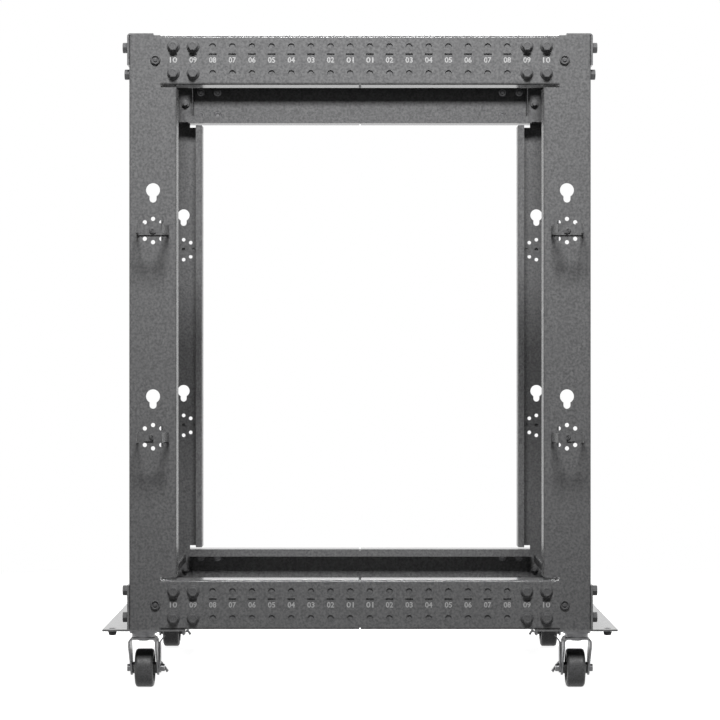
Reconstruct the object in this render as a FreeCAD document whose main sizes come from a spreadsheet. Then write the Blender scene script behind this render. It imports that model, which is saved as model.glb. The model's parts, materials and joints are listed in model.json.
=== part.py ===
"""Four post open frame rack on swivel casters, nineteen inch, adjustable in depth.

Frame of reference, in millimetres: X runs from the front face (-X) to the rear face (+X),
Y across the width, Z up from the floor.  The right hand side, seen from the front, is at -Y.
"""
import FreeCAD, Part
import math
import os
import Sketcher

doc = FreeCAD.newDocument("open_frame_rack")

# ---------------------------------------------------------------------------------------------
# Driving dimensions
# ---------------------------------------------------------------------------------------------

SIZES = [
    # the whole rack
    ("overall_depth", 597.4, "front post face to rear post face, at the shortest setting"),
    ("overall_width", 530.0, "outside of one side frame to outside of the other"),
    ("caster_height", 77.5, "floor to the underside of the foot plates"),
    ("rack_units", 15, "equipment units between the cross members"),
    ("unit_height", 44.45, "one equipment unit"),
    ("unit_margin", 3.0, "free height below the first unit and above the last"),
    # sheet metal
    ("sheet", 2.0, "thickness of posts, beams and splices"),
    ("cross_sheet", 2.5, "thickness of the cross members"),
    ("bend", 1.5, "inside radius of the bends"),
    # posts
    ("post_depth", 61.1, "side plate of a post, along the depth"),
    ("rail_opening", 450.0, "between the rails, as nineteen inch equipment needs"),
    ("post_lip", 9.0, "lip that stiffens the inner flange"),
    ("post_neck", 40.7, "side plate beside a beam, where the post is narrower"),
    ("neck_gap", 3.4, "free height between a beam and the full width of the post"),
    ("rail_hole", 9.5, "square equipment holes"),
    ("rail_spacing", 465.1, "from the holes of one rail to those of the other"),
    ("rail_step", 15.875, "between the three holes of a unit"),
    # accessory holes in the side plates
    ("hole_line", 31.0, "from the post face to the line of accessory holes"),
    ("ring_level", 249.4, "foot plate's top to the centre of the lower ring of holes"),
    ("ring_radius", 15.1, "ring of holes under a cable hook"),
    ("ring_hole", 5.5, "diameter of the holes in the ring"),
    ("ring_count", 8, "holes in the ring"),
    ("group_units", 6, "equipment units from one group of holes to the next"),
    ("keyhole_rise", 52.2, "ring centre to keyhole centre"),
    ("keyhole_head", 18.1, "round end of a keyhole"),
    ("keyhole_slot", 9.1, "narrow end of a keyhole"),
    ("keyhole_drop", 11.5, "between the centres of the two ends"),
    ("face_bolt_inset", 15.0, "side of the rack to the bolts in its faces"),
    ("face_bolt_hole", 8.5, "clearance hole of those bolts"),
    ("corner_screw_line", 34.1, "post face to the screws at the corners of a side frame"),
    ("corner_screw_hole", 6.5, "clearance hole of those screws"),
    # side beams and their splices
    ("beam_height", 64.0, "web of a side beam"),
    ("beam_flange", 35.0, "flanges of a side beam"),
    ("beam_lip", 11.0, "lips of a side beam"),
    ("beam_relief", 3.0, "corner notch where two halves of a beam meet"),
    ("column_pitch", 25.4, "between the columns of adjustment holes"),
    ("column_rows", 34.7, "between the two rows of adjustment holes"),
    ("column_hole", 8.5, "adjustment holes"),
    ("window_length", 10.0, "slot above the number of a column"),
    ("window_height", 4.0, "height of that slot"),
    ("window_rise", 6.4, "that slot above the middle of the beam"),
    ("splice_flange", 28.0, "flanges of a splice"),
    ("splice_columns", 2, "columns of bolt holes at each end of a splice"),
    ("slide_gap", 0.3, "clearance above and below a splice, in its beam"),
    # cross members
    ("top_skirt", 41.0, "front of a top cross member"),
    ("top_shelf", 34.0, "top of a top cross member"),
    ("corner_tab_drop", 46.0, "tab of a cross member inside the side plate of a post"),
    ("corner_tab_gap", 1.5, "free space round that tab"),
    ("bottom_rise", 57.4, "foot plate's top to the upper edge of a bottom cross member"),
    ("bottom_shelf", 40.0, "inward flange of a bottom cross member"),
    ("bottom_lip", 12.0, "lip of that flange"),
    ("foot_out", 34.8, "foot plate outside the post face"),
    ("foot_in", 73.0, "foot plate inside the post face"),
    ("anchor_line", 23.0, "post face to the anchor holes of a foot plate"),
    ("anchor_hole", 9.0, "anchor holes"),
    ("anchor_inset", 15.0, "side of the rack to the anchor holes"),
    # cable hooks
    ("hook_base", 42.7, "width of a hook at the post"),
    ("hook_front", 32.4, "width of a hook at its mouth"),
    ("hook_reach", 60.0, "from the post to the front of a hook"),
    ("hook_height", 12.0, "height of the strip"),
    ("hook_sheet", 2.0, "thickness of the strip"),
    ("hook_bend", 3.0, "inside radius of the strip's bends"),
    ("hook_mouth", 11.8, "gap between the lips of a hook"),
    ("hook_screw_hole", 5.5, "screw hole in the back of a hook"),
    # casters
    ("kingpin_line", 16.7, "post face to the swivel axis"),
    ("kingpin_inset", 23.0, "side of the rack to the swivel axis"),
    ("stem", 10.0, "threaded stem of a caster"),
    ("stem_rise", 16.0, "stem above the foot plate"),
    ("stem_hole", 10.6, "hole in the foot plate for the stem"),
    ("stem_nut", 17.0, "nut on the stem, across its flats"),
    ("stem_nut_height", 8.0, "height of that nut"),
    ("race", 36.0, "fixed disc of the swivel bearing"),
    ("race_height", 4.0, "thickness of that disc"),
    ("kingpin", 8.0, "pin that carries the fork"),
    ("kingpin_head", 14.0, "riveted end of that pin"),
    ("kingpin_head_height", 2.0, "height of the riveted end"),
    ("swivel_gap", 0.3, "free space in the swivel bearing"),
    ("pin_gap", 0.05, "free space round a pin"),
    ("bearing", 30.0, "turning cup of the swivel bearing"),
    ("bearing_height", 5.0, "height of that cup"),
    ("fork_width", 37.0, "outside of one leg to outside of the other"),
    ("fork_sheet", 2.3, "thickness of the fork"),
    ("fork_bend", 4.0, "inside radius of the fork's bends"),
    ("fork_front", 18.0, "crown of the fork ahead of the swivel axis"),
    ("fork_toe", 9.5, "radius of a leg's round end about the axle"),
    ("crown_skirt", 12.0, "depth of the leg below the crown before it narrows"),
    ("trail", 22.0, "swivel axis to axle"),
    ("wheel", 50.0, "wheel diameter"),
    ("tread", 24.0, "width of the tread"),
    ("tread_round", 4.0, "radius of the tread's shoulders"),
    ("rim", 36.0, "recess in the side of a wheel"),
    ("rim_depth", 5.0, "depth of that recess"),
    ("hub", 15.0, "hub of a wheel"),
    ("hub_gap", 0.4, "hub to each leg of the fork"),
    ("axle", 6.0, "axle bolt"),
    ("axle_head", 9.6, "head and nut of the axle bolt"),
    ("axle_head_height", 4.6, "thickness of that head, and of the nut"),
    ("lever_sheet", 2.0, "thickness of a brake lever"),
    ("lever_boss", 13.0, "round end of a brake lever about the axle"),
    ("lever_arm", 14.0, "width of the arm that rises from the boss"),
    ("lever_rise", 34.0, "axle to where that arm turns outward"),
    ("lever_flare", 6.0, "how far the end of the arm stands out"),
    ("flare_rise", 8.0, "height of that end"),
    ("lever_length", 15.0, "axle to the far edge of the pedal"),
    ("lever_pedal", 9.0, "how far the pedal stands out"),
    ("pedal_fall", 12.0, "how far the pedal falls over that length"),
]

sheet = doc.addObject("Spreadsheet::Sheet", "Sizes")
for row, (alias, number, meaning) in enumerate(SIZES, start=1):
    sheet.set(f"A{row}", alias)
    sheet.set(f"B{row}", str(number))
    sheet.set(f"C{row}", meaning)
    sheet.setAlias(f"B{row}", alias)
doc.recompute()

# Levels and lines that several pieces share, each worked out from the sheet.
lines = doc.addObject("App::VarSet", "Lines")


def line(name, formula):
    """Name a shared level or line, bound to the sheet."""
    lines.addProperty("App::PropertyFloat", name, "Lines")
    lines.setExpression(name, formula)


line("face", "Sizes.overall_depth / 2")
line("side", "Sizes.overall_width / 2")
line("foot_top", "Sizes.caster_height + Sizes.cross_sheet")
line("bay_bottom", "foot_top + Sizes.bottom_rise + Sizes.unit_margin")
line("bay_top", "bay_bottom + Sizes.rack_units * Sizes.unit_height")
line("rack_top", "bay_top + Sizes.unit_margin + Sizes.top_skirt")
line("frame_top", "rack_top - Sizes.cross_sheet")
line("beam_end", "face - Sizes.post_neck")
line("columns", "floor(beam_end / Sizes.column_pitch)")
line("splice_end", "columns * Sizes.column_pitch")
line("top_middle", "frame_top - Sizes.beam_height / 2")
line("bottom_middle", "foot_top + Sizes.beam_height / 2")
line("post_inner", "face - Sizes.post_depth")
line("rail_edge", "Sizes.rail_opening / 2")
line("bend_outside", "Sizes.bend + Sizes.sheet")
line("cross_bend_outside", "Sizes.bend + Sizes.cross_sheet")
line("hook_bend_outside", "Sizes.hook_bend + Sizes.hook_sheet")
line("cross_face", "face + Sizes.cross_sheet")
line("kingpin_x", "face - Sizes.kingpin_line")
line("kingpin_y", "side - Sizes.kingpin_inset")
line("axle_y", "kingpin_y - Sizes.trail")
line("axle_z", "Sizes.wheel / 2")
line("race_bottom", "Sizes.caster_height - Sizes.race_height")
line("cup_top", "race_bottom - Sizes.swivel_gap")
line("crown_top", "cup_top - Sizes.bearing_height")
line("crown_bottom", "crown_top - Sizes.fork_sheet")
line("leg_outer", "kingpin_x - Sizes.fork_width / 2")
line("leg_inner", "leg_outer + Sizes.fork_sheet")
line("hub_half", "Sizes.fork_width / 2 - Sizes.fork_sheet - Sizes.hub_gap")
line("lever_start", "leg_outer - Sizes.swivel_gap")
line("lever_end", "lever_start - Sizes.lever_sheet")
doc.recompute()

# ---------------------------------------------------------------------------------------------
# Sketching and feature helpers
# ---------------------------------------------------------------------------------------------


def new_body(label):
    body = doc.addObject("PartDesign::Body", label)
    body.Label = label
    return body


def new_sketch(body, plane, origin=("0", "0", "0")):
    """A sketch on an origin plane.  Its own axes are X and Y on XY, X and Z on XZ, Y and Z on YZ.

    The origin gives formulas for its place along its own two axes and along its normal,
    which is +Z on XY, -Y on XZ and +X on YZ.
    """
    sketch = body.newObject("Sketcher::SketchObject", f"{body.Name}_{plane}")
    support = next(f for f in body.Origin.OriginFeatures if f.Role == f"{plane}_Plane")
    sketch.AttachmentSupport = [(support, "")]
    sketch.MapMode = "FlatFace"
    for axis, formula in zip("xyz", origin):
        sketch.setExpression(f".AttachmentOffset.Base.{axis}", formula)
    return sketch


def pin_point(sketch, geometry, point, across, up):
    """Hold one point of a sketch at a pair of formulas."""
    for kind, formula in (("DistanceX", across), ("DistanceY", up)):
        index = sketch.addConstraint(Sketcher.Constraint(kind, geometry, point, 1.0))
        sketch.setExpression(f"Constraints[{index}]", formula)


def outline(sketch, corners):
    """A closed outline of straight lines through corners given as pairs of formulas."""
    count = len(corners)
    first = sketch.GeometryCount
    turn = 2 * math.pi / count
    guess = [FreeCAD.Vector(math.cos(turn * i), math.sin(turn * i), 0) for i in range(count)]
    sketch.addGeometry([Part.LineSegment(guess[i], guess[(i + 1) % count]) for i in range(count)])
    for i in range(count):
        following = first + (i + 1) % count
        sketch.addConstraint(Sketcher.Constraint("Coincident", first + i, 2, following, 1))
    for i, (across, up) in enumerate(corners):
        pin_point(sketch, first + i, 1, across, up)


def rectangle(sketch, left, right, low, high):
    outline(sketch, [(left, low), (right, low), (right, high), (left, high)])


def circle(sketch, across, up, diameter):
    index = sketch.addGeometry(Part.Circle(FreeCAD.Vector(0, 0, 0), FreeCAD.Vector(0, 0, 1), 1.0))
    pin_point(sketch, index, 3, across, up)
    size = sketch.addConstraint(Sketcher.Constraint("Diameter", index, 2.0))
    sketch.setExpression(f"Constraints[{size}]", diameter)


def extrude(body, kind, sketch, length, reverse=False, middle=False):
    """A pad along the sketch's normal, or a pocket against it, unless reversed."""
    feature = body.newObject(f"PartDesign::{kind}", f"{body.Name}_{kind}")
    feature.Profile = sketch
    feature.setExpression("Length", length)
    feature.Reversed = reverse
    feature.Midplane = middle
    sketch.Visibility = False
    body.Tip = feature
    doc.recompute()
    return feature


def pad(body, sketch, length, reverse=False, middle=False):
    return extrude(body, "Pad", sketch, length, reverse, middle)


def pocket(body, sketch, length, reverse=False, middle=False):
    """A pocket that has to take material away."""
    before = body.Shape.Volume
    feature = extrude(body, "Pocket", sketch, length, reverse, middle)
    if body.Shape.Volume >= before:
        raise RuntimeError(f"{feature.Name} of {body.Label} cuts nothing")
    return feature


def revolve(body, sketch):
    """A full turn about the sketch's upright axis."""
    feature = body.newObject("PartDesign::Revolution", f"{body.Name}_Revolution")
    feature.Profile = sketch
    feature.ReferenceAxis = (sketch, ["V_Axis"])
    feature.Angle = 360.0
    body.Tip = feature
    doc.recompute()
    return feature


def repeat_in_line(body, original, sketch, axis, length, count, reverse=False):
    pattern = body.newObject("PartDesign::LinearPattern", f"{body.Name}_Row")
    pattern.Originals = [original]
    pattern.Direction = (sketch, [axis])
    pattern.Reversed = reverse
    pattern.setExpression("Length", length)
    pattern.setExpression("Occurrences", count)
    body.Tip = pattern
    doc.recompute()
    return pattern


def repeat_in_ring(body, original, sketch, count):
    pattern = body.newObject("PartDesign::PolarPattern", f"{body.Name}_Ring")
    pattern.Originals = [original]
    pattern.Axis = (sketch, ["N_Axis"])
    pattern.Angle = 360.0
    pattern.setExpression("Occurrences", count)
    body.Tip = pattern
    doc.recompute()
    return pattern


def round_bends(body, direction, places, radius):
    """Round the long edges that run along one axis ("x", "y" or "z") at the given places."""
    others = [axis for axis in "xyz" if axis != direction]
    base = body.Tip
    names = []
    for number, edge in enumerate(base.Shape.Edges, start=1):
        start, end = (v.Point for v in edge.Vertexes) if len(edge.Vertexes) == 2 else (None, None)
        if start is None or abs(getattr(start, direction) - getattr(end, direction)) < edge.Length - 0.001:
            continue
        spot = [getattr(start, axis) for axis in others]
        if any(math.dist(spot, place) < 0.01 for place in places):
            names.append(f"Edge{number}")
    fillet = body.newObject("PartDesign::Fillet", f"{body.Name}_Bends")
    fillet.Base = (base, names)
    fillet.setExpression("Radius", radius)
    body.Tip = fillet
    doc.recompute()
    return fillet


def round_rims(body, rim, radius):
    """Round the circular edges whose radius is the one given."""
    base = body.Tip
    names = [f"Edge{number}" for number, edge in enumerate(base.Shape.Edges, start=1)
             if isinstance(edge.Curve, Part.Circle) and abs(edge.Curve.Radius - rim) < 0.01]
    fillet = body.newObject("PartDesign::Fillet", f"{body.Name}_Rims")
    fillet.Base = (base, names)
    fillet.setExpression("Radius", radius)
    body.Tip = fillet
    doc.recompute()
    return fillet


def mirrored(source, label, across):
    """The same piece on the other side of the rack's middle plane, across "x", "y" or "z"."""
    copy = doc.addObject("Part::Mirroring", label)
    copy.Label = label
    copy.Source = source
    copy.Base = FreeCAD.Vector(0, 0, 0)
    copy.Normal = FreeCAD.Vector(across == "x", across == "y", across == "z")
    doc.recompute()
    return copy


pieces = []


def at_four_corners(make, name):
    """Make a piece at the front right corner and mirror it to the other three."""
    front_right = make(f"front_right_{name}")
    rear_right = mirrored(front_right, f"rear_right_{name}", "x")
    front_left = mirrored(front_right, f"front_left_{name}", "y")
    rear_left = mirrored(rear_right, f"rear_left_{name}", "y")
    pieces.extend([front_right, rear_right, front_left, rear_left])


# ---------------------------------------------------------------------------------------------
# Posts
# ---------------------------------------------------------------------------------------------

RING_LEVELS = ["Lines.foot_top + Sizes.ring_level",
               "Lines.foot_top + Sizes.ring_level + Sizes.group_units * Sizes.unit_height"]
BEAM_MIDDLES = ["Lines.bottom_middle", "Lines.top_middle"]
BOLT_ROWS = ["- Sizes.column_rows / 2", "+ Sizes.column_rows / 2"]


def post(label):
    """A lipped channel: rail flange in front, side plate outside, lipped flange behind."""
    body = new_body(label)
    section = new_sketch(body, "XY", ("0", "0", "Lines.foot_top"))
    outline(section, [
        ("-Lines.face", "-Lines.side"),
        ("-Lines.post_inner", "-Lines.side"),
        ("-Lines.post_inner", "-Lines.rail_edge"),
        ("-Lines.post_inner - Sizes.post_lip", "-Lines.rail_edge"),
        ("-Lines.post_inner - Sizes.post_lip", "-Lines.rail_edge - Sizes.sheet"),
        ("-Lines.post_inner - Sizes.sheet", "-Lines.rail_edge - Sizes.sheet"),
        ("-Lines.post_inner - Sizes.sheet", "-Lines.side + Sizes.sheet"),
        ("-Lines.face + Sizes.sheet", "-Lines.side + Sizes.sheet"),
        ("-Lines.face + Sizes.sheet", "-Lines.rail_edge"),
        ("-Lines.face", "-Lines.rail_edge"),
    ])
    pad(body, section, "Lines.frame_top - Lines.foot_top")
    face, inner, side, edge = (lines.face, lines.post_inner, lines.side, lines.rail_edge)
    thick = sheet.sheet
    round_bends(body, "z", [(-face, -side), (-inner, -side), (-inner, -edge)], "Lines.bend_outside")
    round_bends(body, "z", [(-face + thick, -side + thick), (-inner - thick, -side + thick),
                            (-inner - thick, -edge - thick)], "Sizes.bend")

    # beside the beams only the neck of the side plate and the rail flange go on
    notch = new_sketch(body, "XZ", ("0", "0", "Lines.side + 1"))
    past = "-Lines.post_inner + 1"
    rectangle(notch, "-Lines.beam_end", past,
              "Lines.frame_top - Sizes.beam_height - Sizes.neck_gap", "Lines.frame_top + 1")
    rectangle(notch, "-Lines.beam_end", past,
              "Lines.foot_top - 1", "Lines.foot_top + Sizes.beam_height + Sizes.neck_gap")
    pocket(body, notch, "Lines.side - Lines.rail_edge + 2")

    rail = new_sketch(body, "YZ", ("-Sizes.rail_spacing / 2", "Lines.bay_bottom + Sizes.unit_height / 2",
                                   "-Lines.face"))
    for step in (-1, 0, 1):
        rectangle(rail, "-Sizes.rail_hole / 2", "Sizes.rail_hole / 2",
                  f"{step} * Sizes.rail_step - Sizes.rail_hole / 2",
                  f"{step} * Sizes.rail_step + Sizes.rail_hole / 2")
    unit = pocket(body, rail, "2 * Sizes.sheet", reverse=True)
    repeat_in_line(body, unit, rail, "V_Axis", "(Sizes.rack_units - 1) * Sizes.unit_height",
                   "Sizes.rack_units")
    face_holes = new_sketch(body, "YZ", ("0", "0", "-Lines.face"))
    for middle in BEAM_MIDDLES:
        for row in BOLT_ROWS:
            circle(face_holes, "-Lines.side + Sizes.face_bolt_inset", f"{middle} {row}",
                   "Sizes.face_bolt_hole")
    pocket(body, face_holes, "2 * Sizes.sheet", reverse=True)

    side_plate = ("0", "0", "Lines.side")
    hole_line = "-Lines.face + Sizes.hole_line"
    round_holes = new_sketch(body, "XZ", side_plate)
    slots = new_sketch(body, "XZ", side_plate)
    slot_ends = new_sketch(body, "XZ", side_plate)
    for level in RING_LEVELS:
        head = f"{level} + Sizes.keyhole_rise"
        circle(round_holes, hole_line, head, "Sizes.keyhole_head")
        rectangle(slots, f"{hole_line} - Sizes.keyhole_slot / 2", f"{hole_line} + Sizes.keyhole_slot / 2",
                  f"{head} - Sizes.keyhole_drop", head)
        circle(slot_ends, hole_line, f"{head} - Sizes.keyhole_drop", "Sizes.keyhole_slot")
        circle(round_holes, hole_line, level, "Sizes.hook_screw_hole")
    for middle in BEAM_MIDDLES:
        circle(round_holes, "-Lines.face + Sizes.corner_screw_line", middle, "Sizes.corner_screw_hole")
    for holes in (round_holes, slots, slot_ends):
        pocket(body, holes, "Sizes.sheet + 1")
    for level in RING_LEVELS:
        ring = new_sketch(body, "XZ", (hole_line, level, "Lines.side"))
        circle(ring, "0", "Sizes.ring_radius", "Sizes.ring_hole")
        hole = pocket(body, ring, "Sizes.sheet + 1")
        repeat_in_ring(body, hole, ring, "Sizes.ring_count")
    return body


# ---------------------------------------------------------------------------------------------
# Side beams and splices
# ---------------------------------------------------------------------------------------------


def channel_section(sketch, web, flange, lip, low, high):
    """A channel open to +Y, its web at -web, with inward lips."""
    outline(sketch, [
        (f"-{web}", low),
        (f"-{web} + {flange}", low),
        (f"-{web} + {flange}", f"{low} + {lip}"),
        (f"-{web} + {flange} - Sizes.sheet", f"{low} + {lip}"),
        (f"-{web} + {flange} - Sizes.sheet", f"{low} + Sizes.sheet"),
        (f"-{web} + Sizes.sheet", f"{low} + Sizes.sheet"),
        (f"-{web} + Sizes.sheet", f"{high} - Sizes.sheet"),
        (f"-{web} + {flange} - Sizes.sheet", f"{high} - Sizes.sheet"),
        (f"-{web} + {flange} - Sizes.sheet", f"{high} - {lip}"),
        (f"-{web} + {flange}", f"{high} - {lip}"),
        (f"-{web} + {flange}", high),
        (f"-{web}", high),
    ])


def channel_corners(body, web):
    """Where the web of a channel turns into its flanges, outside and inside the sheet."""
    box = body.Shape.BoundBox
    thick = sheet.sheet
    return {"outer": [(-web, box.ZMin), (-web, box.ZMax)],
            "inner": [(-web + thick, box.ZMin + thick), (-web + thick, box.ZMax - thick)]}


def half_beam(low):
    """The front half of a right hand side beam, whose lower edge is at the level named low."""
    def make(label):
        body = new_body(label)
        high = f"{low} + Sizes.beam_height"
        middle = f"({low} + Sizes.beam_height / 2)"
        section = new_sketch(body, "YZ", ("0", "0", "-Lines.beam_end"))
        channel_section(section, "Lines.side", "Sizes.beam_flange", "Sizes.beam_lip", low, high)
        pad(body, section, "Lines.beam_end")
        corners = channel_corners(body, lines.side)
        round_bends(body, "x", corners["outer"], "Lines.bend_outside")
        round_bends(body, "x", corners["inner"], "Sizes.bend")

        column = new_sketch(body, "XZ", ("-Sizes.column_pitch / 2", middle, "Lines.side"))
        circle(column, "0", "Sizes.column_rows / 2", "Sizes.column_hole")
        circle(column, "0", "-Sizes.column_rows / 2", "Sizes.column_hole")
        rectangle(column, "-Sizes.window_length / 2", "Sizes.window_length / 2",
                  "Sizes.window_rise - Sizes.window_height / 2",
                  "Sizes.window_rise + Sizes.window_height / 2")
        first = pocket(body, column, "Sizes.sheet + 1")
        repeat_in_line(body, first, column, "H_Axis", "(Lines.columns - 1) * Sizes.column_pitch",
                       "Lines.columns", reverse=True)

        relief = new_sketch(body, "XZ", ("0", "0", "Lines.side + 1"))
        for edge, inner in ((high, f"{high} - Sizes.beam_relief"), (low, f"{low} + Sizes.beam_relief")):
            outline(relief, [("0", edge), ("-Sizes.beam_relief / 2", edge), ("0", inner)])
        pocket(body, relief, "Sizes.beam_flange + 2")
        return body
    return make


def splice(low):
    """The channel inside a right hand side beam that joins its halves."""
    def make(label):
        body = new_body(label)
        inside = "(Lines.side - Sizes.sheet)"
        bottom = f"{low} + Sizes.sheet + Sizes.slide_gap"
        top = f"{low} + Sizes.beam_height - Sizes.sheet - Sizes.slide_gap"
        section = new_sketch(body, "YZ")
        outline(section, [
            (f"-{inside}", bottom),
            (f"-{inside} + Sizes.splice_flange", bottom),
            (f"-{inside} + Sizes.splice_flange", f"{bottom} + Sizes.sheet"),
            (f"-{inside} + Sizes.sheet", f"{bottom} + Sizes.sheet"),
            (f"-{inside} + Sizes.sheet", f"{top} - Sizes.sheet"),
            (f"-{inside} + Sizes.splice_flange", f"{top} - Sizes.sheet"),
            (f"-{inside} + Sizes.splice_flange", top),
            (f"-{inside}", top),
        ])
        pad(body, section, "2 * Lines.splice_end", middle=True)
        corners = channel_corners(body, lines.side - sheet.sheet)
        round_bends(body, "x", corners["outer"], "Lines.bend_outside")
        round_bends(body, "x", corners["inner"], "Sizes.bend")
        middle = f"({low} + Sizes.beam_height / 2)"
        for end, reverse in (("1", True), ("-1", False)):
            first = f"{end} * (Lines.splice_end - Sizes.column_pitch / 2)"
            column = new_sketch(body, "XZ", (first, middle, inside))
            circle(column, "0", "Sizes.column_rows / 2", "Sizes.column_hole")
            circle(column, "0", "-Sizes.column_rows / 2", "Sizes.column_hole")
            holes = pocket(body, column, "Sizes.sheet + 1")
            repeat_in_line(body, holes, column, "H_Axis",
                           "(Sizes.splice_columns - 1) * Sizes.column_pitch", "Sizes.splice_columns",
                           reverse=reverse)
        return body
    return make


# ---------------------------------------------------------------------------------------------
# Cross members
# ---------------------------------------------------------------------------------------------


def corner_tabs(body, low, high, level):
    """A tab at each end, flat against the inside of a post's side plate, with its screw hole."""
    for side in ("-1", "1"):
        tab = new_sketch(body, "XZ", ("0", "0", f"{side} * (Lines.side - Sizes.sheet)"))
        rectangle(tab, "-Lines.face + Sizes.sheet + Sizes.bend + Sizes.corner_tab_gap",
                  "-Lines.beam_end - Sizes.corner_tab_gap", low, high)
        circle(tab, "-Lines.face + Sizes.corner_screw_line", level, "Sizes.corner_screw_hole")
        pad(body, tab, "Sizes.cross_sheet", reverse=side == "1")


def face_bolt_holes(body, levels):
    """Clearance holes in line with those of the posts' rail flanges."""
    holes = new_sketch(body, "YZ", ("0", "0", "-Lines.cross_face"))
    for side in ("-1", "1"):
        for level in levels:
            circle(holes, f"{side} * (Lines.side - Sizes.face_bolt_inset)", level, "Sizes.face_bolt_hole")
    pocket(body, holes, "Sizes.cross_sheet + 1", reverse=True)


def top_cross_member(label):
    """An angle that lies on the posts and laps over their front faces."""
    body = new_body(label)
    section = new_sketch(body, "XZ")
    outline(section, [
        ("-Lines.cross_face", "Lines.rack_top"),
        ("-Lines.cross_face", "Lines.rack_top - Sizes.top_skirt"),
        ("-Lines.face", "Lines.rack_top - Sizes.top_skirt"),
        ("-Lines.face", "Lines.frame_top"),
        ("-Lines.cross_face + Sizes.top_shelf", "Lines.frame_top"),
        ("-Lines.cross_face + Sizes.top_shelf", "Lines.rack_top"),
    ])
    pad(body, section, "Sizes.overall_width", middle=True)
    round_bends(body, "y", [(-lines.cross_face, lines.rack_top)], "Lines.cross_bend_outside")
    corner_tabs(body, "Lines.frame_top - Sizes.corner_tab_drop", "Lines.frame_top", "Lines.top_middle")
    face_bolt_holes(body, [f"Lines.top_middle {BOLT_ROWS[1]}"])
    return body


def bottom_cross_member(label):
    """A foot plate under the posts with an upright in front that turns inward between them."""
    body = new_body(label)
    upper_edge = "Lines.foot_top + Sizes.bottom_rise"
    shelf_end = "-Lines.cross_face + Sizes.bottom_shelf"
    section = new_sketch(body, "XZ")
    outline(section, [
        ("-Lines.face - Sizes.foot_out", "Sizes.caster_height"),
        ("-Lines.face + Sizes.foot_in", "Sizes.caster_height"),
        ("-Lines.face + Sizes.foot_in", "Lines.foot_top"),
        ("-Lines.face", "Lines.foot_top"),
        ("-Lines.face", upper_edge),
        ("-Lines.cross_face", upper_edge),
        ("-Lines.cross_face", "Lines.foot_top"),
        ("-Lines.face - Sizes.foot_out", "Lines.foot_top"),
    ])
    pad(body, section, "Sizes.overall_width", middle=True)
    shelf = new_sketch(body, "XZ")
    outline(shelf, [
        ("-Lines.face", upper_edge),
        ("-Lines.face", f"{upper_edge} - Sizes.cross_sheet"),
        (f"{shelf_end} - Sizes.cross_sheet", f"{upper_edge} - Sizes.cross_sheet"),
        (f"{shelf_end} - Sizes.cross_sheet", f"{upper_edge} - Sizes.bottom_lip"),
        (shelf_end, f"{upper_edge} - Sizes.bottom_lip"),
        (shelf_end, upper_edge),
    ])
    pad(body, shelf, "2 * (Lines.rail_edge - Sizes.corner_tab_gap)", middle=True)
    shelf_corner = (-lines.cross_face + sheet.bottom_shelf, lines.foot_top + sheet.bottom_rise)
    round_bends(body, "y", [shelf_corner], "Lines.cross_bend_outside")
    corner_tabs(body, "Lines.foot_top", "Lines.foot_top + Sizes.corner_tab_drop", "Lines.bottom_middle")
    face_bolt_holes(body, [f"Lines.bottom_middle {row}" for row in BOLT_ROWS])
    holes = new_sketch(body, "XY", ("0", "0", "Lines.foot_top"))
    for side in ("-1", "1"):
        circle(holes, "-Lines.kingpin_x", f"{side} * Lines.kingpin_y", "Sizes.stem_hole")
        circle(holes, "-Lines.face - Sizes.anchor_line",
               f"{side} * (Lines.side - Sizes.anchor_inset)", "Sizes.anchor_hole")
    pocket(body, holes, "Sizes.cross_sheet + 1")
    return body


# ---------------------------------------------------------------------------------------------
# Cable hooks
# ---------------------------------------------------------------------------------------------


def hook(level):
    """A bent strip round a ring's centre: back on the post, two cheeks and two lips."""
    def make(label):
        body = new_body(label)
        plan = new_sketch(body, "XY", ("-Lines.face + Sizes.hole_line", "-Lines.side",
                                       f"{level} - Sizes.hook_height / 2"))
        half_base, half_front, half_mouth = "Sizes.hook_base / 2", "Sizes.hook_front / 2", "Sizes.hook_mouth / 2"
        strip, reach = "Sizes.hook_sheet", "Sizes.hook_reach"
        outline(plan, [
            (f"-{half_base}", "0"),
            (f"-{half_front}", f"-{reach}"),
            (f"-{half_mouth}", f"-{reach}"),
            (f"-{half_mouth}", f"-{reach} + {strip}"),
            (f"-{half_front} + {strip}", f"-{reach} + {strip}"),
            (f"-{half_base} + {strip}", f"-{strip}"),
            (f"{half_base} - {strip}", f"-{strip}"),
            (f"{half_front} - {strip}", f"-{reach} + {strip}"),
            (f"{half_mouth}", f"-{reach} + {strip}"),
            (f"{half_mouth}", f"-{reach}"),
            (f"{half_front}", f"-{reach}"),
            (f"{half_base}", "0"),
        ])
        pad(body, plan, "Sizes.hook_height")
        centre = -lines.face + sheet.hole_line
        back, front, strip_wide = -lines.side, -lines.side - sheet.hook_reach, sheet.hook_sheet
        half_back, half_mouth_end = sheet.hook_base / 2, sheet.hook_front / 2
        round_bends(body, "z", [(centre + s * half_back, back) for s in (-1, 1)]
                    + [(centre + s * half_mouth_end, front) for s in (-1, 1)], "Lines.hook_bend_outside")
        round_bends(body, "z", [(centre + s * (half_back - strip_wide), back - strip_wide) for s in (-1, 1)]
                    + [(centre + s * (half_mouth_end - strip_wide), front + strip_wide) for s in (-1, 1)],
                    "Sizes.hook_bend")
        screw = new_sketch(body, "XZ", ("-Lines.face + Sizes.hole_line", level,
                                        "Lines.side + Sizes.hook_sheet"))
        circle(screw, "0", "0", "Sizes.hook_screw_hole")
        pocket(body, screw, "Sizes.hook_sheet + 1")
        return body
    return make


# ---------------------------------------------------------------------------------------------
# Casters
# ---------------------------------------------------------------------------------------------


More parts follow.
